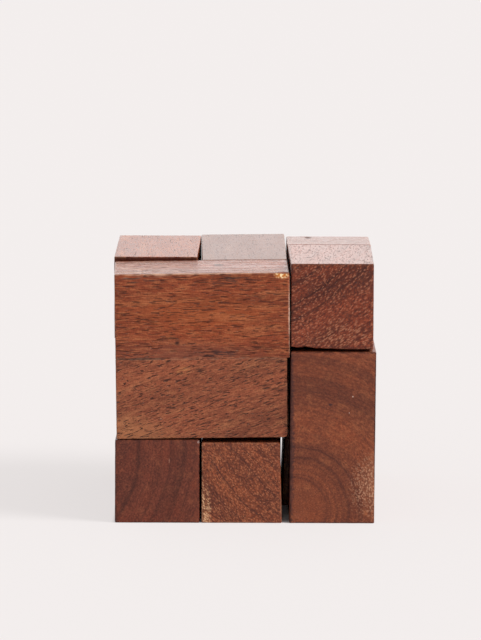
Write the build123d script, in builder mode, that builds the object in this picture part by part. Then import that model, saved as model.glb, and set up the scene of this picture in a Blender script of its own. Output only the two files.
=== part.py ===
from build123d import *
import os
from math import radians, sin

# Wooden block puzzle: fourteen bars of square stock, glued into six pieces that stand together as a cube.
# X runs to the right, Y to the back and Z up. The origin is on the table, under the middle of the cube.

# Driving dimensions in millimetres
stock = 20.0  # section of the planed stock, and one step of the cube
play = 0.5  # loose fit between neighbouring columns and rows
least_gap = 0.15  # closest that a leaning piece comes to its neighbour
edge_round = 0.3  # wear along every edge

# Cuts and glue-ups that came out off size, in millimetres
middle_foot_loss = 0.95  # height that the middle foot bar lacks, so the core sits lower
middle_foot_slot = 1.9  # open slot between the middle foot bar and the right front post
back_slot = 0.8  # the same slot further back, beside the right sill bar
left_foot_loss = 0.5  # height that the left foot bar lacks
left_foot_narrow = 0.5  # width that the left foot bar and the block on it lack on their outer side
front_left_short = 0.3  # length that both front bars lack at their left end
upper_front_loss = 0.2  # height that the front upper bar and the bar glued behind it lack
lower_front_short = 0.65  # length that the front lower bar lacks at its right end
top_left_loss = 0.55  # height that the top left bar lacks
top_right_loss = 0.2  # height that the top right bar lacks
top_right_narrow = 1.0  # width that the top right bar lacks on its outer side
right_back_inset = 0.3  # how far inwards the right back post is glued
right_front_narrow = 0.3  # width that the right front post lacks on its outer side
right_front_extra = 0.2  # height that the right front post has beyond two steps

# Resting lean of the two pieces that lie on others, in degrees
front_tip = 1.3  # front piece, forward over the edge of the core
front_roll = 0.6  # front piece, right end up
front_turn = 1.0  # front piece, back end to the left
right_tip = 1.25  # right top piece, front end up

# Columns, rows and levels of the cube
half = stock / 2
left = (-half - play - stock, -half - play)
middle = (-half, half)
right = (half + play, half + play + stock)
front_row = left
middle_row = middle
back_row = right
table = 0.0
foot_top = stock
posts_top = 2 * stock
cube_top = 3 * stock

# How far the lean carries a point that lies one step from the pivot
step = stock + play
tip_shift = stock * sin(radians(front_tip))
roll_shift = stock * sin(radians(front_roll))
turn_shift = step * sin(radians(front_turn))
right_shift = stock * sin(radians(right_tip))
right_drop = 2 * step * sin(radians(right_tip))

# Core: everything else leans on it
core_foot_top = foot_top - middle_foot_loss
core_top = core_foot_top + stock
core_side = right[0] - middle_foot_slot

# Front piece, which hooks over the upper front edge of the core
front_pivot = Vector(middle[0], middle_row[0], core_top)
left_foot_top = foot_top - left_foot_loss
lower_front_bottom = left_foot_top + tip_shift + roll_shift + least_gap
lower_front_back = middle_row[0] - tip_shift - turn_shift - least_gap
front_left_end = left[0] + front_left_short
upper_front_end = right[0] - turn_shift - least_gap
lower_front_end = upper_front_end - lower_front_short
upper_front_top = core_top + stock - upper_front_loss

# Left back piece, which the turned bar of the front piece keeps from going right home
left_back_inside = middle[0] - 2 * turn_shift - roll_shift - least_gap
left_back = (left_back_inside - stock, left_back_inside)
top_left_top = cube_top - top_left_loss

# Right top piece, which rocks on the back edge of the right front post
right_front_top = posts_top + right_front_extra
right_pivot = Vector(right[0], front_row[1], right_front_top + least_gap)
top_right_back = back_row[0] + right_shift
sill_top = core_foot_top - least_gap
right_back_bottom = sill_top + right_drop + least_gap
top_right_top = right_pivot.Z + stock - top_right_loss
sill = (core_side + back_slot, core_side + back_slot + stock)


def leaning(pivot, about_x, about_y, about_z):
    """Plane of a piece that leans about its pivot: limits given on it are those before the lean."""
    turned = Plane(origin=pivot).rotated((about_x, about_y, about_z))
    origin = turned.from_local_coords(Vector() - pivot)
    return Plane(origin=origin, x_dir=turned.x_dir, z_dir=turned.z_dir)


def cut_bar(label, seat, across, deep, high):
    """One bar between its limits in X, Y and Z on the plane of its piece, with its edges eased."""
    with BuildPart() as bar:
        with BuildSketch(seat.offset(high[0])):
            with Locations(((across[0] + across[1]) / 2, (deep[0] + deep[1]) / 2)):
                Rectangle(across[1] - across[0], deep[1] - deep[0])
        extrude(amount=high[1] - high[0])
        fillet(bar.edges(), radius=edge_round)
    bar.part.label = label
    export_step(bar.part, f"parts/{label}.step")


os.makedirs("parts", exist_ok=True)
upright = Plane.XY
front_seat = leaning(front_pivot, front_tip, -front_roll, front_turn)
right_seat = leaning(right_pivot, -right_tip, 0, 0)

# Core
core_across = (middle[0], core_side)
cut_bar("middle_foot_bar", upright, core_across, (front_row[0], middle_row[1]), (table, core_foot_top))
cut_bar("cross_bar", upright, (middle[0], right[1]), middle_row, (core_foot_top, core_top))
cut_bar("middle_back_post", upright, core_across, (middle_row[1], back_row[1]), (table, core_top))

# Front piece
upper_front_across = (front_left_end, upper_front_end)
upper_front_high = (core_top, upper_front_top)
lower_front_across = (front_left_end, lower_front_end)
lower_front_deep = (front_row[0], lower_front_back)
lower_front_high = (lower_front_bottom, core_top)
cut_bar("front_upper_bar", front_seat, upper_front_across, front_row, upper_front_high)
cut_bar("front_lower_bar", front_seat, lower_front_across, lower_front_deep, lower_front_high)
cut_bar("top_middle_bar", front_seat, middle, (front_row[1], back_row[1]), upper_front_high)

# Left back piece
cut_bar("top_left_bar", upright, left_back, (middle_row[0], back_row[1]), (posts_top, top_left_top))
cut_bar("left_back_post", upright, left_back, back_row, (table, posts_top))

# Right top piece
top_right_across = (right[0], right[1] - top_right_narrow)
top_right_deep = (front_row[0], top_right_back)
top_right_high = (right_pivot.Z, top_right_top)
right_back_across = (right[0] - right_back_inset, right[1] - right_back_inset)
right_back_deep = (top_right_back, back_row[1])
right_back_high = (right_back_bottom, top_right_top)
cut_bar("top_right_bar", right_seat, top_right_across, top_right_deep, top_right_high)
cut_bar("right_back_post", right_seat, right_back_across, right_back_deep, right_back_high)

# Right front piece
right_front_across = (right[0], right[1] - right_front_narrow)
cut_bar("right_front_post", upright, right_front_across, front_row, (table, right_front_top))
cut_bar("right_sill_bar", upright, sill, (front_row[1], back_row[1]), (table, sill_top))

# Left foot piece
left_foot_across = (left[0] + left_foot_narrow, left[1])
left_foot_deep = (front_row[0], middle_row[1])
left_inner_high = (left_foot_top, left_foot_top + stock)
cut_bar("left_foot_bar", upright, left_foot_across, left_foot_deep, (table, left_foot_top))
cut_bar("left_inner_block", upright, left_foot_across, middle_row, left_inner_high)
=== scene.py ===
"""Looks of a wooden block puzzle: fourteen bars of oiled hardwood, glued into six pieces of one cube.

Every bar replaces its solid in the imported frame. Its place, lean and size are read from that solid, so the
bars stay where the frame has them. X runs to the right, Y to the back and Z up, in metres. Sizes that a maker
would set on a bar are written in millimetres and in the bar's own axes, from the bar's middle.
"""

import logging
import math
from abc import ABC, abstractmethod
from dataclasses import dataclass, replace
from enum import Enum
from typing import Callable

import bmesh
import bpy
from mathutils import Color, Matrix, Vector


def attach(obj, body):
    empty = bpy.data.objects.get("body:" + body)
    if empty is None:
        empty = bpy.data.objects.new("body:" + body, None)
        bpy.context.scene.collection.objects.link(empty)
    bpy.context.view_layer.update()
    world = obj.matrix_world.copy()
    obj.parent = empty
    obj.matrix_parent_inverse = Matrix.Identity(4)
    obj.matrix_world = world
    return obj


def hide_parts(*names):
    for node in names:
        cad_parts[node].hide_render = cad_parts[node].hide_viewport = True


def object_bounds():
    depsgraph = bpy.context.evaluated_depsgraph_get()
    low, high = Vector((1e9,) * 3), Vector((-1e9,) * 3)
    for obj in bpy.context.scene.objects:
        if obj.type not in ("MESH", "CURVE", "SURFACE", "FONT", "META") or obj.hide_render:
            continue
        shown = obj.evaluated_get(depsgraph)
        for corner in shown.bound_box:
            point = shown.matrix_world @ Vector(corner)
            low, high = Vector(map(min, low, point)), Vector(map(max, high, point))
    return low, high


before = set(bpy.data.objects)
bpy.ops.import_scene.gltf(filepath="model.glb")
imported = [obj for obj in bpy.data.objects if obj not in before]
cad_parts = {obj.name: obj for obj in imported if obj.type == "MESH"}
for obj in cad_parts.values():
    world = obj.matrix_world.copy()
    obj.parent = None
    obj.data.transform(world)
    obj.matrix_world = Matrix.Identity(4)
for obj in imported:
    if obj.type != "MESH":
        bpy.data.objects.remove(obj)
CAD_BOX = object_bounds()

LOG = logging.getLogger("block_puzzle")
MM = 0.001
NEARLY_PARALLEL = 0.99

Pair = tuple[float, float]
Triple = tuple[float, float, float]
Colour = tuple[float, float, float, float]
Socket = bpy.types.NodeSocket


class Grain(Enum):
    """Way that the grain runs in a bar, as the axes that the grain's own X, Y and Z lie along."""

    ALONG_X = ((1, 0, 0), (0, 1, 0), (0, 0, 1))
    ALONG_Y = ((0, 1, 0), (-1, 0, 0), (0, 0, 1))
    ALONG_Z = ((0, 0, 1), (0, 1, 0), (-1, 0, 0))

    @property
    def turn(self) -> Matrix:
        """Turn that brings the grain onto X."""
        return Matrix(self.value)

    @property
    def letter(self) -> str:
        """Name of the axis that the grain runs along."""
        return self.name[-1]


def tone(code: str) -> Colour:
    """Turn a screen colour, six hexadecimal digits, into the linear colour that a shader takes."""
    levels = [level / 255 for level in bytes.fromhex(code)]
    return (*Color(levels).from_srgb_to_scene_linear(), 1.0)


@dataclass(frozen=True)
class Seat:
    """Place of one bar: its middle, its own axes and its size, in metres."""

    middle: Vector
    axes: Matrix
    size: Vector

    @classmethod
    def of(cls, node: str) -> "Seat":
        """Read where a bar lies from its solid.

        Args:
            node: Name of the solid in the frame.

        Returns:
            The seat, with axes that follow the flat sides of the solid.
        """
        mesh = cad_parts[node].data
        sides = []
        for axis in Matrix.Identity(3):
            facing = [side for side in mesh.polygons if side.normal.dot(axis) > NEARLY_PARALLEL]
            sides.append(max(facing, key=lambda side: side.area).normal.copy())
        points = [vertex.co for vertex in mesh.vertices]
        low = Vector([min(point.dot(side) for point in points) for side in sides])
        high = Vector([max(point.dot(side) for point in points) for side in sides])
        axes = Matrix(sides).transposed()
        return cls(axes @ ((low + high) / 2), axes, high - low)

    @property
    def half(self) -> Vector:
        """Half the size, in millimetres."""
        return self.size / 2 / MM


@dataclass(frozen=True)
class Nudge:
    """Corners of a bar that the saw left out of square, how far they are off, and along which axis.

    A side of 0 takes the corners on both sides.
    """

    sides: Triple
    by: float
    axis: int = 0


@dataclass(frozen=True)
class Easing:
    """Edge with a radius of its own: the sides it joins, and whether wear reaches it.

    It runs along the axis whose side is 0.
    """

    sides: Triple
    radius: float
    wears: bool = True

    def runs_by(self, point: Vector, half: Vector, reach: float) -> bool:
        """Say whether a point, in millimetres from the bar's middle, lies within reach of both sides."""
        return all(half[i] - point[i] * side < reach for i, side in enumerate(self.sides) if side)


class Marked(Enum):
    """What is picked out on a blank."""

    CORNERS = "verts"
    EDGES = "edges"


class Push(Enum):
    """Way that points of a bar are pushed."""

    OUTWARDS = "NORMAL"
    UPWARDS = "Z"


@dataclass(frozen=True)
class Chip:
    """Broken place on a bar, in millimetres: its middle, its reach each way, its depth and its crumbs.

    The depth is counted along the way of the push, so below 0 an outward push goes inwards.
    """

    at: Triple
    reach: Triple
    depth: float
    way: Push = Push.OUTWARDS
    crumb: float = 0.8


class Patch(Enum):
    """Way that a stain, painted highlight or painted shade fills its patch."""

    SOLID = "solid"
    SPECKLED = "speckled"
    STREAKED = "streaked"
    PEBBLED = "pebbled"


@dataclass(frozen=True)
class StainAndPaintedLight:
    """Patch of another colour on the wood, a stain, a painted highlight or a painted shade: its middle and
    its reach each way, in millimetres.
    """

    at: Triple
    reach: Triple
    colour: str
    strength: float = 0.6
    patch: Patch = Patch.SOLID
    ragged: float = 0.4
    soft: float = 0.6


@dataclass(frozen=True)
class RingLine:
    """Dark line of one growth ring: its radius about the pith, its width and how dark it is.

    It is darkest over a part of its width, and a faint shade reaches some widths to each side.
    """

    radius: float
    width: float
    depth: float
    darkest: float = 0.2
    shade_reach: float = 5.0
    shade_share: float = 0.45


@dataclass(frozen=True)
class Cloud:
    """Cloudy pattern in the wood: its cells to the millimetre, and the levels between which it fades in."""

    along: float
    across: float
    start: float = 0.0
    end: float = 1.0
    detail: float = 2.0

    @property
    def cells(self) -> Triple:
        """Cells to the millimetre along the grain and both ways across it."""
        return (self.along, self.across, self.across)


BEND = Cloud(0.12, 0.25)
SWAY = Cloud(0.018, 0.06, detail=3.0)
BLUSH = Cloud(0.03, 0.11, 0.45, 0.65)
PALE_STREAKS = Cloud(0.05, 0.35, 0.5, 0.75)
PORE_GROUPS = Cloud(0.09, 0.3)
SPECKLES = Cloud(2.0, 2.0, 0.47, 0.58, 1.0)
DARK_STREAKS = Cloud(0.25, 2.2, 0.45, 0.6)
RAGGED_RIM = Cloud(0.5, 1.6)
RUBBED_AND_SHADED = Cloud(0.7, 0.7, 0.4, 0.6, 3.0)
GLOSS_STREAKS = Cloud(0.05, 0.45, 0.35, 0.65, 3.0)
# The finish sets all the cells of the grit, and those across the grain of the ring breaks
GRIT = Cloud(1.0, 1.0, 0.35, 0.65, 1.0)
RING_BREAKS = Cloud(0.03, 1.0, 0.2, 0.48)


@dataclass(frozen=True)
class WoodFinish:
    """Oiled hardwood: its colours, and the sizes of its rings, fibres and pores in millimetres."""

    name: str
    pale: str
    body: str
    deep: str
    blush: str
    pore: str
    end_pore: str
    pebble: str
    ring_step: float = 5.0
    ring_share: float = 0.5
    ring_break: float = 7.5
    sway: float = 2.5
    waver: float = 0.4
    fine_step: float = 0.7
    fine_share: float = 0.25
    fibre_length: float = 2.2
    fibre_gap: float = 0.4
    fibre_run: float = 1.25
    fibre_light: float = 0.45
    fibre_dark: float = 0.45
    fibre_height: float = 0.03
    fibre_dull: float = 0.1
    blush_share: float = 0.5
    pale_share: float = 0.5
    pore_length: float = 3.6
    pore_gap: float = 0.3
    pore_start: float = 0.56
    pore_full: float = 0.65
    pore_group: float = 0.18
    pore_depth: float = 0.02
    pore_tint: float = 0.68
    pebble_step: float = 0.45
    pebble_run: float = 1.4
    pebble_light: float = 0.25
    pebble_dark: float = 0.3
    pebble_height: float = 0.03
    end_shade: float = 0.0
    grit_gap: float = 0.3
    grit_share: float = 0.15
    # Edge tint and its share: a pale tint is rubbed wear, and a dark one such as 3a211c is painted shade
    # along the edges.
    edge_wear_and_shade: str = "c79a7c"
    edge_wear_and_shade_share: float = 0.15
    roughness: float = 0.25
    gloss_streak: float = 0.02
    pore_dull: float = 0.1
    ior: float = 1.24


class NodeDesk:
    """Adds nodes to one material and wires them."""

    cloud_breakup = 0.55
    band_breakup = 0.6

    def __init__(self, tree: bpy.types.NodeTree) -> None:
        """Keep the tree that the nodes go into."""
        self.tree = tree

    def add(self, kind: str, feeds: dict[str | int, object], **settings: object) -> bpy.types.Node:
        """Add one node.

        Args:
            kind: Blender's name of the node type.
            feeds: What goes into each input, a socket or a constant.
            settings: Values of the node's own options.

        Returns:
            The new node.
        """
        node = self.tree.nodes.new(kind)
        for option, value in settings.items():
            setattr(node, option, value)
        for name, value in feeds.items():
            if isinstance(value, Socket):
                self.tree.links.new(value, node.inputs[name])
            else:
                node.inputs[name].default_value = value
        return node

    def sum(self, operation: str, *terms: object) -> Socket:
        """Work out one sum of sockets or numbers."""
        return self.add("ShaderNodeMath", dict(enumerate(terms)), operation=operation).outputs[0]

    def vector(self, operation: str, *terms: object) -> bpy.types.Node:
        """Work out one sum of vectors, and return its node."""
        return self.add("ShaderNodeVectorMath", dict(enumerate(terms)), operation=operation)

    def ease(self, value: object, start: float, end: float) -> Socket:
        """Rise smoothly from 0 at start to 1 at end.

        Args:
            value: What is measured.
            start: Value at which the result leaves 0.
            end: Value at which the result reaches 1, which may lie below start.

        Returns:
            The eased value.
        """
        rising = start < end
        feeds = {"Value": value, "From Min": min(start, end), "From Max": max(start, end)}
        feeds["To Min"] = 0.0 if rising else 1.0
        feeds["To Max"] = 1.0 if rising else 0.0
        return self.add("ShaderNodeMapRange", feeds, interpolation_type="SMOOTHSTEP").outputs[0]

    def noise(self, place: Socket, cells: Triple, detail: float) -> Socket:
        """Cloud the wood.

        Args:
            place: Place in millimetres.
            cells: Cells to the millimetre, each way.
            detail: How many finer layers lie over the coarse one.

        Returns:
            Level from 0 to 1, mostly near the middle.
        """
        scaled = self.vector("MULTIPLY", place, cells).outputs[0]
        feeds = {"Vector": scaled, "Scale": 1.0, "Detail": detail, "Roughness": self.cloud_breakup}
        return self.add("ShaderNodeTexNoise", feeds, noise_dimensions="3D").outputs[0]

    def cloud(self, place: Socket, cloud: Cloud) -> Socket:
        """Cloud the wood in one pattern, which fades in from 0 to 1."""
        return self.ease(self.noise(place, cloud.cells, cloud.detail), cloud.start, cloud.end)

    def swing(self, place: Socket, cloud: Cloud) -> Socket:
        """Swing to both sides of 0 in the cells of one pattern, by 0.5 at most."""
        return self.sum("SUBTRACT", self.noise(place, cloud.cells, cloud.detail), 0.5)

    def bands(self, along: object, step: float, detail: float) -> Socket:
        """Band the wood at uneven distances.

        Args:
            along: Distance in millimetres that the bands are counted over.
            step: Usual distance from one band to the next.
            detail: How many finer layers lie over the coarse one.

        Returns:
            Level from 0 to 1, mostly near the middle.
        """
        feeds = {"W": self.sum("DIVIDE", along, step), "Scale": 1.0, "Detail": detail}
        feeds["Roughness"] = self.band_breakup
        return self.add("ShaderNodeTexNoise", feeds, noise_dimensions="1D").outputs[0]

    def mix(self, share: object, under: object, over: object) -> Socket:
        """Lay one colour over another, which it hides by a share from 0 to 1."""
        return self.add("ShaderNodeMix", {0: share, 6: under, 7: over}, data_type="RGBA").outputs[2]

    def lay(self, colour: Socket, mask: Socket, share: float, code: str) -> Socket:
        """Lay the colour of a code over the wood, in its full share where the mask is 1."""
        return self.mix(self.sum("MULTIPLY", mask, share), colour, tone(code))

    def scale(self, colour: Socket, level: Socket) -> Socket:
        """Lighten or darken a colour by a level that multiplies it."""
        return self.add("ShaderNodeVectorMath", {0: colour, "Scale": level}, operation="SCALE").outputs[0]


@dataclass
class WoodDresser:
    """Dresses one bar in wood that goes right through it: streaks on its sides and rings on its ends.

    A pair of levels is where a mark starts to show and where it shows in full. Along the grain, the pebbles
    of the end grain are counted to the millimetre.
    """

    finish: WoodFinish
    seat: Seat
    grain: Grain
    pith: Triple
    rise: float
    dive: float
    rings: tuple[RingLine, ...]
    stains_and_painted_light: tuple[StainAndPaintedLight, ...]
    least_arc: float = 12.0
    end_facing: Pair = (0.6, 0.8)
    ring_levels: Pair = (0.32, 0.68)
    fine_levels: Pair = (0.5, 0.3)
    pale_fibres: Pair = (0.5, 0.64)
    dark_fibres: Pair = (0.5, 0.36)
    pebbles_along: float = 0.15
    pebble_crests: Pair = (0.54, 0.68)
    pebble_hollows: Pair = (0.48, 0.34)
    pebble_patches: Pair = (0.46, 0.64)
    edge_wear_and_shade_depths: Pair = (0.45, 0.1)

    def material(self, name: str) -> bpy.types.Material:
        """Make the bar's material.

        Args:
            name: Name of the material.

        Returns:
            The material, wired and ready.
        """
        material = bpy.data.materials.new(name)
        material.use_nodes = True
        self.desk = NodeDesk(material.node_tree)
        material.node_tree.nodes.clear()
        self.find_places()
        colour = self.heartwood()
        pores = self.pores()
        pebbles = self.pebbles()
        colour = self.lay_stains_and_painted_light(colour, pebbles)
        colour = self.lay_pores(colour, pores, pebbles)
        colour = self.lay_edge_wear_and_shade(colour)
        self.surface(colour, pores, pebbles)
        return material

    def find_places(self) -> None:
        """Find the place on the bar, the place along and across the grain, and the distance from the pith."""
        desk = self.desk
        coordinates = desk.add("ShaderNodeTexCoord", {}).outputs
        feeds = {
            "Vector": coordinates["Object"],
            "Location": self.seat.middle,
            "Rotation": self.seat.axes.to_euler(),
            "Scale": (MM, MM, MM),
        }
        self.place = desk.add("ShaderNodeMapping", feeds, vector_type="TEXTURE").outputs[0]
        rise = Matrix.Rotation(math.radians(self.rise), 3, "Y")
        dive = Matrix.Rotation(-math.radians(self.dive), 3, "Z")
        turn = self.grain.turn @ (rise @ dive)
        feeds = {"Vector": self.place, "Rotation": turn.to_euler(), "Location": -(turn @ Vector(self.pith))}
        straight = desk.add("ShaderNodeMapping", feeds, vector_type="POINT").outputs[0]
        aside = desk.sum("MULTIPLY", desk.swing(straight, BEND), self.finish.waver)
        shift = desk.add("ShaderNodeCombineXYZ", {1: aside, 2: aside}).outputs[0]
        self.along = desk.vector("ADD", straight, shift).outputs[0]
        cross = desk.vector("MULTIPLY", self.along, (0.0, 1.0, 1.0)).outputs[0]
        length = desk.vector("LENGTH", cross).outputs["Value"]
        self.radius = desk.sum("MULTIPLY_ADD", desk.swing(self.along, SWAY), 2 * self.finish.sway, length)
        parts = desk.add("ShaderNodeSeparateXYZ", {0: self.along}).outputs
        angle = desk.sum("ARCTAN2", parts[2], desk.sum("MULTIPLY", parts[1], -1.0))
        reach = max((turn @ Vector(self.pith)).yz.length, self.least_arc)
        arc = desk.sum("MULTIPLY", angle, reach)
        self.ringwise = desk.add("ShaderNodeCombineXYZ", {0: parts[0], 1: self.radius, 2: arc}).outputs[0]
        facing = desk.add("ShaderNodeSeparateXYZ", {0: coordinates["Normal"]}).outputs[self.grain.letter]
        self.end_grain = desk.ease(desk.sum("ABSOLUTE", facing), *self.end_facing)

    def heartwood(self) -> Socket:
        """Colour the wood by its growth rings, fibres and broad clouds.

        Returns:
            The colour before pores and wear.
        """
        desk = self.desk
        finish = self.finish
        ring = desk.ease(desk.bands(self.radius, finish.ring_step, detail=3.0), *self.ring_levels)
        colour = desk.mix(ring, tone(finish.deep), tone(finish.body))
        colour = desk.mix(finish.ring_share, tone(finish.body), colour)
        colour = desk.lay(colour, desk.cloud(self.along, BLUSH), finish.blush_share, finish.blush)
        colour = desk.lay(colour, desk.cloud(self.along, PALE_STREAKS), finish.pale_share, finish.pale)
        line = desk.ease(desk.bands(self.radius, finish.fine_step, detail=1.0), *self.fine_levels)
        colour = desk.lay(colour, line, finish.fine_share, finish.deep)
        cells = (1 / finish.fibre_length, 1 / finish.fibre_gap, 1 / (finish.fibre_run * finish.fibre_gap))
        self.fibre = desk.noise(self.ringwise, cells, detail=2.0)
        colour = desk.lay(colour, desk.ease(self.fibre, *self.pale_fibres), finish.fibre_light, finish.pale)
        colour = desk.lay(colour, desk.ease(self.fibre, *self.dark_fibres), finish.fibre_dark, finish.deep)
        return self.lay_grit(self.lay_rings(colour))

    def lay_grit(self, colour: Socket) -> Socket:
        """Break the colour up with the finest specks of the sanded wood.

        Args:
            colour: Colour of the wood.

        Returns:
            The colour, a little lighter and darker from speck to speck.
        """
        finish = self.finish
        step = 1 / finish.grit_gap
        speck = self.desk.cloud(self.place, replace(GRIT, along=step, across=step))
        level = self.desk.sum("MULTIPLY_ADD", speck, 2 * finish.grit_share, 1 - finish.grit_share)
        return self.desk.scale(colour, level)

    def lay_rings(self, colour: Socket) -> Socket:
        """Draw the growth rings that stand out: a thin dark line with a faint shade beside it.

        Args:
            colour: Colour of the wood.

        Returns:
            The colour with these rings.
        """
        desk = self.desk
        fade = desk.cloud(self.along, replace(RING_BREAKS, across=1 / self.finish.ring_break))
        for line in self.rings:
            off = desk.sum("ABSOLUTE", desk.sum("SUBTRACT", self.radius, line.radius))
            core = desk.ease(off, line.width, line.darkest * line.width)
            shade = desk.ease(off, line.shade_reach * line.width, 0.0)
            share = desk.sum("MULTIPLY", core, 1 - line.shade_share)
            share = desk.sum("MULTIPLY_ADD", shade, line.shade_share, share)
            colour = desk.lay(colour, desk.sum("MULTIPLY", share, fade), line.depth, self.finish.deep)
        return colour

    def pores(self) -> Socket:
        """Open the pores: dashes along the grain on the sides of a bar, dots on its ends.

        Returns:
            Share of open pore, from 0 to 1.
        """
        desk = self.desk
        finish = self.finish
        cells = (1 / finish.pore_length, 1 / finish.pore_gap, 1 / finish.pore_gap)
        level = desk.noise(self.along, cells, detail=1.0)
        level = desk.sum("MULTIPLY_ADD", desk.swing(self.along, PORE_GROUPS), finish.pore_group, level)
        return desk.ease(level, finish.pore_start, finish.pore_full)

    def pebbles(self) -> Socket:
        """Roughen the end grain with small pebbles that follow the growth rings.

        Returns:
            Height of the pebbles, from 0 in the hollows to 1 on the crests.
        """
        desk = self.desk
        step = self.finish.pebble_step
        cells = (self.pebbles_along, 1 / step, 1 / (self.finish.pebble_run * step))
        spread = desk.vector("MULTIPLY", self.ringwise, cells).outputs[0]
        away = desk.add("ShaderNodeTexVoronoi", {"Vector": spread, "Scale": 1.0}).outputs["Distance"]
        cloud = desk.noise(self.ringwise, cells, detail=1.0)
        return desk.sum("MULTIPLY_ADD", desk.sum("SUBTRACT", cloud, away), 0.5, 0.5)

    def lay_pores(self, colour: Socket, pores: Socket, pebbles: Socket) -> Socket:
        """Darken the open pores, and shade the pebbles of the end grain.

        Args:
            colour: Colour of the wood.
            pores: Share of open pore.
            pebbles: Height of the pebbles.

        Returns:
            The colour with both.
        """
        desk = self.desk
        finish = self.finish
        colour = desk.scale(colour, desk.sum("MULTIPLY_ADD", self.end_grain, -finish.end_shade, 1.0))
        tint = desk.mix(self.end_grain, tone(finish.pore), tone(finish.end_pore))
        colour = desk.mix(desk.sum("MULTIPLY", pores, finish.pore_tint), colour, tint)
        crest = desk.sum("MULTIPLY", desk.ease(pebbles, *self.pebble_crests), self.end_grain)
        colour = desk.lay(colour, crest, finish.pebble_light, finish.pebble)
        hollow = desk.sum("MULTIPLY", desk.ease(pebbles, *self.pebble_hollows), self.end_grain)
        return desk.lay(colour, hollow, finish.pebble_dark, finish.deep)

    def lay_stains_and_painted_light(self, colour: Socket, pebbles: Socket) -> Socket:
        """Lay the patches of sapwood, dark marks and broken wood, and the painted highlights and painted
        shade on some edges and sides.

        Args:
            colour: Colour of the wood.
            pebbles: Height of the pebbles.

        Returns:
            The colour with the patches.
        """
        desk = self.desk
        fills = {
            Patch.SPECKLED: desk.cloud(self.place, SPECKLES),
            Patch.STREAKED: desk.cloud(self.along, DARK_STREAKS),
            Patch.PEBBLED: desk.ease(pebbles, *self.pebble_patches),
        }
        rim = desk.swing(self.along, RAGGED_RIM)
        for colour_patch in self.stains_and_painted_light:
            away = desk.vector("SUBTRACT", self.place, colour_patch.at).outputs[0]
            away = desk.vector("DIVIDE", away, colour_patch.reach).outputs[0]
            reach = desk.vector("LENGTH", away).outputs["Value"]
            reach = desk.sum("MULTIPLY_ADD", rim, 2 * colour_patch.ragged, reach)
            share = desk.ease(reach, 1.0, 1.0 - colour_patch.soft)
            if colour_patch.patch in fills:
                share = desk.sum("MULTIPLY", share, fills[colour_patch.patch])
            colour = desk.lay(colour, share, colour_patch.strength, colour_patch.colour)
        return colour

    def lay_edge_wear_and_shade(self, colour: Socket) -> Socket:
        """Tint the edges of the bar unevenly: a pale tint is rubbed wear, and a dark tint is painted shade
        along the edges.

        Args:
            colour: Colour of the wood.

        Returns:
            The colour with the tinted edges.
        """
        desk = self.desk
        outwards = desk.vector("ABSOLUTE", self.place).outputs[0]
        inside = desk.vector("SUBTRACT", self.seat.half, outwards).outputs[0]
        depths = desk.add("ShaderNodeSeparateXYZ", {0: inside}).outputs
        total = desk.vector("DOT_PRODUCT", inside, (1.0, 1.0, 1.0)).outputs["Value"]
        least = desk.sum("MINIMUM", desk.sum("MINIMUM", depths[0], depths[1]), depths[2])
        most = desk.sum("MAXIMUM", desk.sum("MAXIMUM", depths[0], depths[1]), depths[2])
        from_edge = desk.sum("SUBTRACT", desk.sum("SUBTRACT", total, most), least)
        near = desk.ease(from_edge, *self.edge_wear_and_shade_depths)
        edge_wear_and_shade = desk.sum("MULTIPLY", near, desk.cloud(self.place, RUBBED_AND_SHADED))
        return desk.lay(colour, edge_wear_and_shade, self.finish.edge_wear_and_shade_share, self.finish.edge_wear_and_shade)

    def surface(self, colour: Socket, pores: Socket, pebbles: Socket) -> None:
        """Finish the shader: gloss of the oil, and the relief of pores and fibres.

        Args:
            colour: Finished colour.
            pores: Share of open pore.
            pebbles: Height of the pebbles.
        """
        desk = self.desk
        finish = self.finish
        height = desk.sum("MULTIPLY", pores, -finish.pore_depth)
        height = desk.sum("MULTIPLY_ADD", self.fibre, finish.fibre_height, height)
        on_ends = desk.sum("MULTIPLY", pebbles, self.end_grain)
        height = desk.sum("MULTIPLY_ADD", on_ends, finish.pebble_height, height)
        relief = desk.add("ShaderNodeBump", {"Height": height, "Strength": 1.0, "Distance": MM})
        streak = desk.cloud(self.along, GLOSS_STREAKS)
        least = finish.roughness - (finish.fibre_dull + finish.gloss_streak) / 2
        dull = desk.sum("MULTIPLY_ADD", pores, finish.pore_dull, least)
        dull = desk.sum("MULTIPLY_ADD", streak, finish.gloss_streak, dull)
        dull = desk.sum("MULTIPLY_ADD", self.fibre, finish.fibre_dull, dull)
        feeds = {
            "Base Color": colour,
            "Roughness": dull,
            "Normal": relief.outputs[0],
            "IOR": finish.ior,
        }
        shader = desk.add("ShaderNodeBsdfPrincipled", feeds)
        desk.add("ShaderNodeOutputMaterial", {"Surface": shader.outputs[0]})


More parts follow.
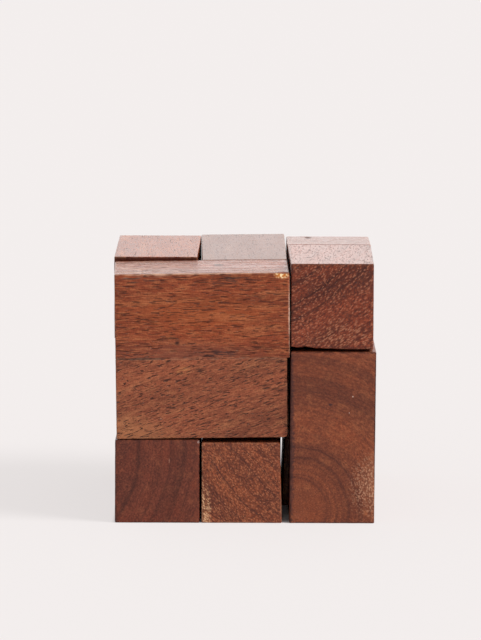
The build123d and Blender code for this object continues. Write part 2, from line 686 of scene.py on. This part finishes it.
@dataclass
class Bar:
    """One bar of square stock: how it was cut, worn and broken, and the wood that it is cut from."""

    node: str
    finish: WoodFinish
    grain: Grain
    pith: Triple = (0.0, 40.0, 60.0)
    rise: float = 0.0
    dive: float = 0.0
    nudges: tuple[Nudge, ...] = ()
    easings: tuple[Easing, ...] = ()
    chips: tuple[Chip, ...] = ()
    stains_and_painted_light: tuple[StainAndPaintedLight, ...] = ()
    rings: tuple[RingLine, ...] = ()
    edge_round: float = 0.28
    edge_segments: int = 3
    easing_segments: int = 6
    easing_reach: float = 2.0
    sharp_angle: float = 40.0
    smooth_angle: float = 50.0
    grid: float = 0.4
    side_share: float = 0.7
    wave: float = 0.03
    wave_size: float = 9.0
    wave_rest: float = 0.5
    edge_wear: float = 0.12
    edge_reach: float = 1.0
    wear_size: float = 1.4
    wear_rest: float = 0.25
    chip_steepness: float = 1.6
    cloud_depth: int = 2

    def build(self) -> bpy.types.Object:
        """Cut, wear, seat and dress the bar.

        Returns:
            The finished bar.
        """
        self.seat = Seat.of(self.node)
        self.saw()
        self.skew()
        self.ease_edges()
        self.divide()
        self.mark_edges()
        self.mark_chips()
        self.put_in_place()
        self.wear()
        self.dress()
        return self.bar

    def saw(self) -> None:
        """Saw the blank to its size, about the origin."""
        bpy.ops.object.select_all(action="DESELECT")
        bpy.ops.mesh.primitive_cube_add(size=1.0)
        self.bar = bpy.context.object
        self.bar.name = f"{self.node}_wood"
        self.bar.data.name = self.bar.name
        self.bar.scale = self.seat.size
        bpy.ops.object.transform_apply(location=False, rotation=False, scale=True)

    def select(self, wanted: Callable[[Vector], bool], marked: Marked) -> None:
        """Select corners or edges of the bar by their middle, in edit mode.

        Args:
            wanted: Says of a middle, in millimetres, whether its part is selected.
            marked: What is selected.
        """
        shape = bmesh.from_edit_mesh(self.bar.data)
        bpy.ops.mesh.select_all(action="DESELECT")
        for part in getattr(shape, marked.value):
            middle = part.co if marked is Marked.CORNERS else (part.verts[0].co + part.verts[1].co) / 2
            part.select_set(wanted(middle / MM))
        bmesh.update_edit_mesh(self.bar.data)

    def skew(self) -> None:
        """Move the corners that the saw left out of square."""
        bpy.ops.object.mode_set(mode="EDIT")
        bpy.ops.mesh.select_mode(type="VERT")
        for nudge in self.nudges:
            self.select(lambda middle: all(middle[i] * nudge.sides[i] >= 0 for i in range(3)), Marked.CORNERS)
            shift = Vector()
            shift[nudge.axis] = nudge.by * MM
            bpy.ops.transform.translate(value=shift)

    def ease_edges(self) -> None:
        """Round the edges: first those that are worn most, then all that are still sharp."""
        bpy.ops.mesh.select_mode(type="EDGE")
        half = self.seat.half
        for easing in self.easings:
            self.select(lambda middle: easing.runs_by(middle, half, self.easing_reach), Marked.EDGES)
            bpy.ops.mesh.bevel(offset=easing.radius * MM, segments=self.easing_segments, affect="EDGES")
        bpy.ops.mesh.select_all(action="DESELECT")
        bpy.ops.mesh.edges_select_sharp(sharpness=math.radians(self.sharp_angle))
        bpy.ops.mesh.bevel(offset=self.edge_round * MM, segments=self.edge_segments, affect="EDGES")

    def divide(self) -> None:
        """Divide the sides into a fine grid, which the wear and the chips can shape."""
        for axis in range(3):
            shape = bmesh.from_edit_mesh(self.bar.data)
            bpy.ops.mesh.select_all(action="DESELECT")
            for edge in shape.edges:
                run = edge.verts[1].co - edge.verts[0].co
                edge.select_set(abs(run[axis]) > self.side_share * self.seat.size[axis])
            bmesh.update_edit_mesh(self.bar.data)
            cuts = round(self.seat.size[axis] / MM / self.grid) - 1
            bpy.ops.mesh.subdivide(number_cuts=cuts)
        bpy.ops.object.mode_set(mode="OBJECT")

    def mark_edges(self) -> None:
        """Weigh each point by how near it is to an edge of the bar."""
        group = self.bar.vertex_groups.new(name="edges")
        half = self.seat.half
        reach = self.edge_reach
        kept = [easing for easing in self.easings if not easing.wears]
        for vertex in self.bar.data.vertices:
            point = vertex.co / MM
            depths = sorted(half[i] - abs(point[i]) for i in range(3))
            weight = 1 - depths[1] / reach
            if weight > 0 and not any(easing.runs_by(point, half, reach) for easing in kept):
                group.add([vertex.index], weight ** 2, "REPLACE")

    def mark_chips(self) -> None:
        """Weigh each point by how deep it lies in each chip."""
        for number, chip in enumerate(self.chips):
            group = self.bar.vertex_groups.new(name=f"chip_{number}")
            for vertex in self.bar.data.vertices:
                away = [(vertex.co[i] / MM - chip.at[i]) / chip.reach[i] for i in range(3)]
                weight = 1 - math.sqrt(sum(part * part for part in away))
                if weight > 0:
                    group.add([vertex.index], min(1.0, self.chip_steepness * weight), "REPLACE")

    def put_in_place(self) -> None:
        """Seat the bar where the frame has it, with its place in its mesh."""
        self.bar.matrix_world = Matrix.Translation(self.seat.middle) @ self.seat.axes.to_4x4()
        bpy.ops.object.transform_apply(location=True, rotation=True, scale=True)

    def push(
        self, name: str, strength: float, size: float, rest: float, group: str = "", way: Push = Push.OUTWARDS
    ) -> None:
        """Push points of the bar in or out by a cloudy amount.

        Args:
            name: Name of the step.
            strength: How far the cloud pushes, in millimetres, outwards if above 0.
            size: Size of the clouds, in millimetres.
            rest: Level of the cloud that leaves a point where it is.
            group: Points that are pushed, or none for all.
            way: Way of the push.
        """
        cloud = bpy.data.textures.new(f"{self.node}_{name}", "CLOUDS")
        cloud.noise_scale = size * MM
        cloud.noise_depth = self.cloud_depth
        push = self.bar.modifiers.new(name, "DISPLACE")
        push.texture = cloud
        push.texture_coords = "LOCAL"
        push.strength = strength * MM
        push.mid_level = rest
        push.vertex_group = group
        push.direction = way.value
        bpy.ops.object.modifier_apply(modifier=name)
        bpy.data.textures.remove(cloud)

    def wear(self) -> None:
        """Leave the faint waves of the plane, wear the edges unevenly and break out the chips."""
        self.push("wave", self.wave, self.wave_size, self.wave_rest)
        self.push("edge_wear", -self.edge_wear, self.wear_size, self.wear_rest, "edges")
        for number, chip in enumerate(self.chips):
            self.push(f"chip_{number}", chip.depth, chip.crumb, 0.0, f"chip_{number}", chip.way)
        self.bar.vertex_groups.clear()
        bpy.ops.object.shade_smooth_by_angle(angle=math.radians(self.smooth_angle))

    def dress(self) -> None:
        """Give the bar its wood."""
        dresser = WoodDresser(
            self.finish, self.seat, self.grain, self.pith, self.rise, self.dive, self.rings, self.stains_and_painted_light
        )
        self.bar.data.materials.append(dresser.material(f"{self.node}_{self.finish.name}"))


RED_BROWN = WoodFinish(
    name="red_brown_wood", pale="b06a42", body="90482c", deep="562b20", blush="a2522c",
    pore="38201c", end_pore="4a2a22", pebble="b8785a",
)
TAN_BROWN = WoodFinish(
    name="tan_brown_wood", pale="ae704c", body="8a4b34", deep="573024", blush="965238",
    pore="3a221c", end_pore="4a2c24", pebble="b8805c",
)
DARK_BROWN = WoodFinish(
    name="dark_brown_wood", pale="8e5038", body="723a2a", deep="40231e", blush="7c3a28",
    pore="301c19", end_pore="3a221d", pebble="a8684c",
)
WARM_BROWN = WoodFinish(
    name="warm_brown_wood", pale="a2603f", body="7f432d", deep="4a2822", blush="8a462c",
    pore="38221d", end_pore="4a2c24", pebble="b47250",
)


@dataclass
class PuzzlePiece(ABC):
    """Some bars that are glued together and move as one."""

    body: str

    @abstractmethod
    def cut_list(self) -> list[Bar]:
        """Return the bars of this piece."""

    def make(self) -> None:
        """Build the bars, and let them stand for their solids on the piece's body."""
        for bar in self.cut_list():
            made = bar.build()
            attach(made, self.body)
            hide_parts(bar.node)
            LOG.info("%s: %s, %d faces", self.body, made.name, len(made.data.polygons))


@dataclass
class Core(PuzzlePiece):
    """Piece in the middle, whose foot shows at the front."""

    body: str = "core"
    foot_corner_round: float = 0.55
    foot_finish: WoodFinish = replace(
        WARM_BROWN, body="8a4930", blush="965032", pebble_light=0.5, pebble_dark=0.45, pebble_height=0.2,
        pebble_step=0.4, pebble_run=1.5, pore_start=0.6, pore_full=0.68, pore_depth=0.05,
        fibre_light=0.3, fibre_dark=0.3, ring_break=3.0, edge_wear_and_shade="b98a6c", edge_wear_and_shade_share=0.5, roughness=0.4,
    )

    def cut_list(self) -> list[Bar]:
        """Cut the bars of the core.

        Returns:
            The foot, cross bar and back post.
        """
        foot = Bar(
            "middle_foot_bar", self.foot_finish, Grain.ALONG_Y, pith=(55, 0, 50),
            nudges=(Nudge((1, -1, 1), -0.5), Nudge((0, -1, 1), -0.2, axis=2)),
            easings=(Easing((1, 0, 1), self.foot_corner_round),),
            rings=(
                RingLine(66, 0.25, 0.5), RingLine(68.5, 0.25, 0.6), RingLine(70.7, 0.25, 0.7),
                RingLine(74, 0.25, 0.6), RingLine(76.7, 0.25, 0.8), RingLine(80.6, 0.8, 0.5),
            ),
            stains_and_painted_light=(
                StainAndPaintedLight((-9.8, -20, -7), (3.2, 40, 8.5), "a5714e", 0.6, ragged=0.6),
                StainAndPaintedLight((-9.8, -20, -7), (3.2, 40, 8.5), "e0b890", 1.0, Patch.PEBBLED),
            ),
        )
        cross = Bar("cross_bar", WARM_BROWN, Grain.ALONG_X)
        post = Bar("middle_back_post", DARK_BROWN, Grain.ALONG_Z)
        return [foot, cross, post]


@dataclass
class FrontPiece(PuzzlePiece):
    """Piece that hooks over the front of the core."""

    body: str = "front_piece"
    corner_chip: float = 0.55
    glued_edge_round: float = 0.06
    lower_corner_round: float = 0.8
    lower_finish: WoodFinish = replace(
        TAN_BROWN, pore_length=2.2, pore_gap=0.26, pore_start=0.61, pore_full=0.65, pore_group=0.14,
        pore_depth=0.06, pore_tint=0.9, fibre_length=2.0, fibre_gap=0.28, fibre_light=0.35,
        fibre_dark=0.25, roughness=0.3,
    )
    upper_finish: WoodFinish = replace(
        RED_BROWN, pale="b06c46", body="88422a", blush="944628", pore="3a1e17", waver=1.2,
        pore_length=2.8, pore_gap=0.26, pore_start=0.59, pore_full=0.63, pore_group=0.12,
        pore_depth=0.07, pore_tint=0.72, fibre_length=3.0, fibre_gap=0.26, fibre_light=0.5,
        fibre_dark=0.2, fibre_height=0.06, roughness=0.18, gloss_streak=0.23, ior=1.21,
    )
    top_finish: WoodFinish = replace(
        TAN_BROWN, pale="8a6450", body="704636", blush="784a38", pore_gap=0.32, pore_start=0.6,
        pore_full=0.7, pore_dull=0.05, fibre_height=0.02, roughness=0.22,
    )

    def cut_list(self) -> list[Bar]:
        """Cut the bars of the front piece.

        Returns:
            The upper and lower front bar and the top bar behind them.
        """
        upper = Bar(
            "front_upper_bar", self.upper_finish, Grain.ALONG_X, pith=(0, 50, 70),
            nudges=(Nudge((-1, 1, 1), -0.2),),
            easings=(Easing((0, -1, -1), self.glued_edge_round, wears=False),),
            chips=(Chip((18.8, -10, 9.8), (2, 1.2, 1), -self.corner_chip),),
            stains_and_painted_light=(
                StainAndPaintedLight((0, -10, 1), (24, 30, 6), "a0522a", 0.35, soft=0.9),
                StainAndPaintedLight((-4, -10, -10), (28, 30, 6), "70463a", 0.5, soft=0.9),
                StainAndPaintedLight((-14, -10, 8.6), (7, 4, 1.2), "45302a", 0.8, Patch.STREAKED),
                StainAndPaintedLight((6, -10, 8.4), (7, 4, 1.4), "45302a", 0.8, Patch.STREAKED),
                StainAndPaintedLight((4, -10, -8.8), (6.5, 4, 1.3), "3d2a28", 0.9, Patch.STREAKED),
                StainAndPaintedLight((-5.8, -10, -6.2), (0.9, 2, 0.75), "2a1a1a", 0.85, soft=0.8),
                StainAndPaintedLight((-15, -10, -9.9), (9, 1, 0.45), "3a2420", 0.95, soft=0.7),
                # Painted reflection: pale streaks over the left half of the top make it as bright as the
                # right half.
                StainAndPaintedLight((-14, 0, 10), (18, 30, 1.5), "d4a88e", 0.55, Patch.STREAKED, soft=0.8),
                StainAndPaintedLight((3.8, 2.5, 10), (1.6, 2.2, 1), "3a2420", 0.8),
                # Painted highlight: a pale line along the top front edge, as if its rounding caught the
                # light.
                StainAndPaintedLight((0, -10, 9.9), (26, 1, 0.35), "cfa68c", 0.7, soft=0.9),
                # Painted highlight: a pale line down the right front edge of the end, as if its rounding
                # caught the light.
                StainAndPaintedLight((20.05, -10, -0.5), (0.4, 1, 12), "d8b8a4", 0.7, soft=0.9),
                StainAndPaintedLight((18.5, -10.2, 9.5), (2.3, 0.9, 1.25), "bd7434", 0.85),
                StainAndPaintedLight((18.5, -10.2, 9.5), (2.3, 0.9, 1.25), "ecd2a6", 0.95, Patch.SPECKLED),
            ),
        )
        lower = Bar(
            "front_lower_bar", self.lower_finish, Grain.ALONG_X, rise=15, dive=6,
            stains_and_painted_light=(
                StainAndPaintedLight((-16, -10, -8), (12, 30, 5), "ae7850", 0.4, soft=0.9),
                StainAndPaintedLight((-15, -10, 9.4), (9, 1, 0.35), "3a2420", 0.9, soft=0.7),
                StainAndPaintedLight((8, -10, 9.5), (16, 1, 0.3), "55302a", 0.7, soft=0.7),
                StainAndPaintedLight((-4.2, -10, 6.4), (2.2, 20, 1.2), "c48650", 0.5, Patch.STREAKED),
                StainAndPaintedLight((-0.2, -10, 6.6), (1.8, 3, 0.6), "40261e", 0.8, Patch.STREAKED),
                StainAndPaintedLight((17, -10, 2.6), (4.5, 3, 1.6), "40261e", 0.75, Patch.STREAKED),
                StainAndPaintedLight((3.5, -10, -0.2), (3.5, 3, 0.8), "40261e", 0.7, Patch.STREAKED),
                StainAndPaintedLight((-9.5, -10, -4.75), (0.3, 1, 0.2), "dcc8b8", 0.8),
                StainAndPaintedLight((-8, -10, -9.6), (14, 1, 0.35), "d2a888", 0.7, soft=0.9),
            ),
            easings=(
                Easing((0, -1, 1), self.glued_edge_round, wears=False),
                Easing((1, 0, -1), self.lower_corner_round),
            ),
            chips=(
                Chip((19.3, -10, 5), (0.7, 1.5, 2), -0.35),
                Chip((19.3, -10, -1.5), (0.7, 1.5, 1.6), -0.35),
            ),
        )
        top = Bar(
            "top_middle_bar", self.top_finish, Grain.ALONG_Y,
            nudges=(Nudge((-1, 1, -1), -0.2), Nudge((1, 1, 0), 0.35)),
        )
        return [upper, lower, top]


@dataclass
class LeftBackPiece(PuzzlePiece):
    """Piece at the back left, which is the left part of the top."""

    body: str = "left_back_piece"
    top_finish: WoodFinish = replace(
        RED_BROWN, end_shade=0.72, pebble_light=0.1, pore_start=0.6, pore_full=0.72, roughness=0.26,
        gloss_streak=0.01,
    )

    def cut_list(self) -> list[Bar]:
        """Cut the bars of the left back piece.

        Returns:
            The top bar and its post.
        """
        top = Bar(
            "top_left_bar", self.top_finish, Grain.ALONG_Y,
            nudges=(Nudge((-1, -1, 0), 0.2), Nudge((1, -1, 0), -0.3), Nudge((1, 1, 0), 0.13)),
            stains_and_painted_light=(StainAndPaintedLight((0, -20.2, 0), (16, 0.6, 16), "8c2c22", 0.8, ragged=0.0),),
            edge_round=0.18,
        )
        post = Bar("left_back_post", WARM_BROWN, Grain.ALONG_Z)
        return [top, post]


@dataclass
class RightTopPiece(PuzzlePiece):
    """Piece that is the right part of the top, and goes down at the back."""

    body: str = "right_top_piece"
    post_edge_round: float = 0.5
    top_finish: WoodFinish = replace(
        DARK_BROWN, pale="a85c40", body="9a4a32", blush="9e4a32", deep="4a241e", pebble="a86a50",
        end_shade=0.23, pebble_light=0.6, pebble_dark=0.6, pebble_step=0.42, pebble_run=2.0,
        pebble_height=0.2, fine_step=0.55, fine_share=0.4, fibre_light=0.3, fibre_dark=0.3, waver=0.0,
        pore_length=2.0, pore_full=0.63, pore_group=0.02, pore_depth=0.03, pore_dull=0.14, ring_step=3.0,
        # The dark edge tint 3a211c is painted shade along the edges.
        ring_share=0.7, ring_break=4.0, edge_wear_and_shade="3a211c", edge_wear_and_shade_share=0.6, roughness=0.205,
    )
    post_finish: WoodFinish = replace(RED_BROWN, end_shade=0.3, roughness=0.175, gloss_streak=0.03)

    def cut_list(self) -> list[Bar]:
        """Cut the bars of the right top piece.

        Returns:
            The top bar and its post.
        """
        top = Bar(
            "top_right_bar", self.top_finish, Grain.ALONG_Y, pith=(-35, 0, 50), dive=-8,
            nudges=(Nudge((-1, 1, 0), -0.45), Nudge((1, 1, 0), 0.65)),
            chips=(
                Chip((-8.5, -20, -10), (6, 3, 2), 1.3, Push.UPWARDS, 2.5),
                Chip((-2, -20, -10), (5, 3, 1.2), 0.4, Push.UPWARDS, 0.9),
            ),
            rings=(
                RingLine(52.9, 0.3, 0.7), RingLine(57.2, 0.35, 0.95),
                RingLine(58.6, 0.3, 0.85), RingLine(60.6, 0.35, 0.7),
            ),
            stains_and_painted_light=(
                StainAndPaintedLight((7.5, -20, 6.5), (5, 10, 5), "3c2a28", 0.5, soft=0.9),
                StainAndPaintedLight((-1, -20, 5), (14, 4, 5.5), "38201c", 0.35, soft=0.9),
                StainAndPaintedLight((3, -20, -7), (10, 4, 4.5), "bc8262", 0.6, Patch.PEBBLED, soft=0.8),
                StainAndPaintedLight((0, 0, 10), (40, 60, 0.9), "8a4e34", 0.6, ragged=0.0),
            ),
        )
        post = Bar(
            "right_back_post", self.post_finish, Grain.ALONG_Z,
            nudges=(Nudge((-1, 0, 0), -0.3),),
            easings=(Easing((0, -1, 1), self.post_edge_round),),
            chips=(Chip((-5, 6.5, 20), (0.9, 2.2, 1), -0.6),),
            stains_and_painted_light=(StainAndPaintedLight((-5, 6.5, 20), (1, 2.2, 2), "3a2420", 0.9),),
        )
        return [top, post]


@dataclass
class RightFrontPiece(PuzzlePiece):
    """Piece that stands at the front right."""

    body: str = "right_front_piece"
    post_finish: WoodFinish = replace(
        WARM_BROWN, pore_start=0.64, pore_full=0.72, fibre_light=0.3, fibre_dark=0.3, sway=1.2,
        ring_share=0.4, grit_share=0.12, pebble_light=0.06, pebble_dark=0.08, pebble_step=0.4,
        # The dark edge tint 3a211c is painted shade along the edges.
        pebble_height=0.08, edge_wear_and_shade="3a211c", edge_wear_and_shade_share=0.9, roughness=0.4,
    )

    def cut_list(self) -> list[Bar]:
        """Cut the bars of the right front piece.

        Returns:
            The post and the sill behind it.
        """
        post = Bar(
            "right_front_post", self.post_finish, Grain.ALONG_Y, pith=(-9.2, 0, -17.3),
            nudges=(Nudge((0, 0, -1), -0.2),),
            rings=(
                RingLine(8.1, 0.4, 0.6), RingLine(12.8, 0.5, 0.7), RingLine(15.2, 0.4, 0.75),
                RingLine(29, 1.4, 0.4), RingLine(31, 1.2, 0.4), RingLine(36, 1.4, 0.35),
            ),
            stains_and_painted_light=(
                StainAndPaintedLight((9.8, -10, -10.5), (4.5, 20, 8), "a06e54", 0.4, soft=0.9),
                StainAndPaintedLight((9, -10, -11.5), (6.5, 20, 10), "be8e70", 0.75, Patch.PEBBLED, soft=0.9),
                # Painted shade: the left side and its front edge, beside the dark gap, are darkened over the
                # whole depth.
                StainAndPaintedLight((-9.8, -10, 0), (1.1, 20, 30), "3a2628", 0.7, ragged=0.8),
                # Painted shade: a dark line down the right front edge, where the rounded edge turns from the
                # light.
                StainAndPaintedLight((9.9, -10, 0), (0.6, 0.6, 30), "2c1b1a", 0.85, ragged=0.3),
                StainAndPaintedLight((4.5, -10, 9.7), (0.2, 1, 0.2), "cbb0a0", 0.8),
                StainAndPaintedLight((3.7, -10, 5.9), (0.16, 1, 0.16), "cbb0a0", 0.8),
                StainAndPaintedLight((-0.6, -10, 7.8), (0.7, 1, 0.4), "3a2628", 0.8),
            ),
        )
        sill = Bar(
            "right_sill_bar", TAN_BROWN, Grain.ALONG_Y,
            nudges=(Nudge((-1, 0, 0), 0.07), Nudge((-1, 0, -1), -0.72)),
        )
        return [post, sill]


@dataclass
class LeftFootPiece(PuzzlePiece):
    """Piece at the lower left."""

    body: str = "left_foot_piece"
    foot_finish: WoodFinish = replace(
        DARK_BROWN, body="6e382a", pore_start=0.68, pore_full=0.76, fibre_light=0.25, fibre_dark=0.3,
        # The dark edge tint 3a211c is painted shade along the edges.
        sway=1.2, grit_share=0.12, pebble_light=0.06, pebble_dark=0.08, edge_wear_and_shade="3a211c", edge_wear_and_shade_share=0.6,
        roughness=0.4,
    )

    def cut_list(self) -> list[Bar]:
        """Cut the bars of the left foot piece.

        Returns:
            The foot and the block on it.
        """
        foot = Bar(
            "left_foot_bar", self.foot_finish, Grain.ALONG_Y, pith=(-36, 0, 8.8),
            nudges=(Nudge((-1, 0, 0), -0.12), Nudge((-1, -1, 1), 0.12)),
            rings=(RingLine(31.6, 0.8, 0.65), RingLine(39, 0.8, 0.45), RingLine(42, 0.8, 0.4)),
            stains_and_painted_light=(
                StainAndPaintedLight((9.5, -20, 9.3), (0.35, 1, 0.45), "a89088", 0.8),
                StainAndPaintedLight((2.8, -20, 4.9), (0.2, 1, 0.8), "9a6a58", 0.7),
            ),
        )
        block = Bar("left_inner_block", RED_BROWN, Grain.ALONG_Y)
        return [foot, block]


@dataclass
class Studio:
    """Pale table in soft light, and the camera of the photograph."""

    picture_height: float = 640.0
    focal_pixels: float = 3451.0
    sensor: float = 36.0
    look_at: Triple = (-0.00109, -0.030, 0.04752)
    distance: float = 0.793
    nearest_seen: float = 0.01
    pitch: float = 8.604
    yaw: float = 0.175
    roll: float = 0.141
    floor_size: float = 12.0
    floor_colour: str = "f3eeed"
    floor_glow: float = 0.82
    glow_level: float = 0.95
    glow_edge: float = 0.002
    sky_level: float = 0.58
    key_from: Triple = (0.7, -0.23, 0.67)
    key_angle: float = 24.0
    key_level: float = 3.0
    key_colour: str = "ffffff"
    back_from: Triple = (0.0, 0.97, 0.24)
    back_angle: float = 40.0
    back_level: float = 0.27
    back_colour: str = "fff0ec"

    def set_up(self) -> None:
        """Lay the table, light it and place the camera."""
        bpy.context.scene.view_settings.view_transform = "Standard"
        self.lay_floor()
        self.light_sky()
        self.hang_lamp("soft_lamp", self.key_from, self.key_angle, self.key_level, self.key_colour)
        self.hang_lamp("back_lamp", self.back_from, self.back_angle, self.back_level, self.back_colour)
        self.place_camera()

    def lay_floor(self) -> None:
        """Lay a wide pale table top."""
        bpy.ops.object.select_all(action="DESELECT")
        bpy.ops.mesh.primitive_plane_add(size=self.floor_size)
        floor = bpy.context.object
        floor.name = "table_top"
        material = bpy.data.materials.new("pale_table")
        material.use_nodes = True
        material.node_tree.nodes.clear()
        desk = NodeDesk(material.node_tree)
        matt = desk.add("ShaderNodeBsdfDiffuse", {"Color": tone(self.floor_colour)})
        glow = desk.add("ShaderNodeEmission", {"Color": tone(self.floor_colour), "Strength": self.glow_level})
        share = desk.sum("MULTIPLY", self.is_seen(desk), self.floor_glow)
        share = desk.sum("MULTIPLY", share, self.beside_part(desk))
        both = desk.add("ShaderNodeMixShader", {0: share, 1: matt.outputs[0], 2: glow.outputs[0]})
        desk.add("ShaderNodeOutputMaterial", {"Surface": both.outputs[0]})
        floor.data.materials.append(material)

    def beside_part(self, desk: NodeDesk) -> Socket:
        """Tell the open table from the part's own footprint, which keeps its full shadow.

        Args:
            desk: Where the nodes go.

        Returns:
            0 under the part, and 1 beside it.
        """
        low, high = CAD_BOX
        middle = ((low[0] + high[0]) / 2, (low[1] + high[1]) / 2, 0.0)
        half = ((high[0] - low[0]) / 2, (high[1] - low[1]) / 2, 0.0)
        place = desk.add("ShaderNodeTexCoord", {}).outputs["Object"]
        away = desk.vector("ABSOLUTE", desk.vector("SUBTRACT", place, middle).outputs[0]).outputs[0]
        outside = desk.vector("SUBTRACT", away, half).outputs[0]
        sides = desk.add("ShaderNodeSeparateXYZ", {0: outside}).outputs
        return desk.ease(desk.sum("MAXIMUM", sides[0], sides[1]), -self.glow_edge, 0.0)

    def is_seen(self, desk: NodeDesk) -> Socket:
        """Tell rays that show the surroundings from rays that light the part.

        Args:
            desk: Where the nodes go.

        Returns:
            1 where the surroundings are seen, directly or in a gloss, and 0 where they give light.
        """
        path = desk.add("ShaderNodeLightPath", {}).outputs
        seen = desk.sum("MAXIMUM", path["Is Camera Ray"], path["Is Glossy Ray"])
        return desk.sum("MAXIMUM", seen, path["Is Transmission Ray"])

    def light_sky(self) -> None:
        """Surround the table with even light, and show the table's own colour beyond its edge."""
        world = bpy.data.worlds.new("soft_surroundings")
        bpy.context.scene.world = world
        world.use_nodes = True
        desk = NodeDesk(world.node_tree)
        world.node_tree.nodes.clear()
        level = self.sky_level
        colour = desk.mix(self.is_seen(desk), (level, level, level, 1.0), tone(self.floor_colour))
        light = desk.add("ShaderNodeBackground", {"Color": colour, "Strength": 1.0})
        desk.add("ShaderNodeOutputWorld", {"Surface": light.outputs[0]})

    def hang_lamp(self, name: str, at: Triple, angle: float, level: float, colour: str) -> None:
        """Hang one soft lamp far off.

        Args:
            name: Name of the lamp.
            at: Where the light comes from.
            angle: How wide the lamp looks from the part, in degrees.
            level: How strong the light is.
            colour: Colour of the light.
        """
        bpy.ops.object.light_add(type="SUN", location=at)
        lamp = bpy.context.object
        lamp.name = name
        lamp.data.angle = math.radians(angle)
        lamp.data.energy = level
        lamp.data.color = tone(colour)[:3]
        lamp.rotation_euler = (-Vector(at)).to_track_quat("-Z", "Y").to_euler()

    def place_camera(self) -> None:
        """Stand the camera at the photograph's angle."""
        pitch = math.radians(self.pitch)
        yaw = math.radians(self.yaw)
        ahead = math.cos(pitch)
        forward = Vector((-math.sin(yaw) * ahead, math.cos(yaw) * ahead, -math.sin(pitch)))
        level = Vector((math.cos(yaw), math.sin(yaw), 0.0))
        up = level.cross(forward)
        roll = math.radians(self.roll)
        right = level * math.cos(roll) + up * math.sin(roll)
        top = up * math.cos(roll) - level * math.sin(roll)
        bpy.ops.object.camera_add(location=Vector(self.look_at) - forward * self.distance)
        camera = bpy.context.object
        camera.rotation_euler = Matrix((right, top, -forward)).transposed().to_euler()
        camera.data.sensor_width = self.sensor
        camera.data.lens = self.focal_pixels * self.sensor / self.picture_height
        camera.data.clip_start = self.nearest_seen
        bpy.context.scene.camera = camera


def main() -> None:
    """Build the six pieces and the studio in order."""
    logging.basicConfig(level=logging.INFO, format="%(message)s")
    pieces = [Core(), FrontPiece(), LeftBackPiece(), RightTopPiece(), RightFrontPiece(), LeftFootPiece()]
    for piece in pieces:
        piece.make()
    Studio().set_up()


if __name__ == "__main__":
    main()
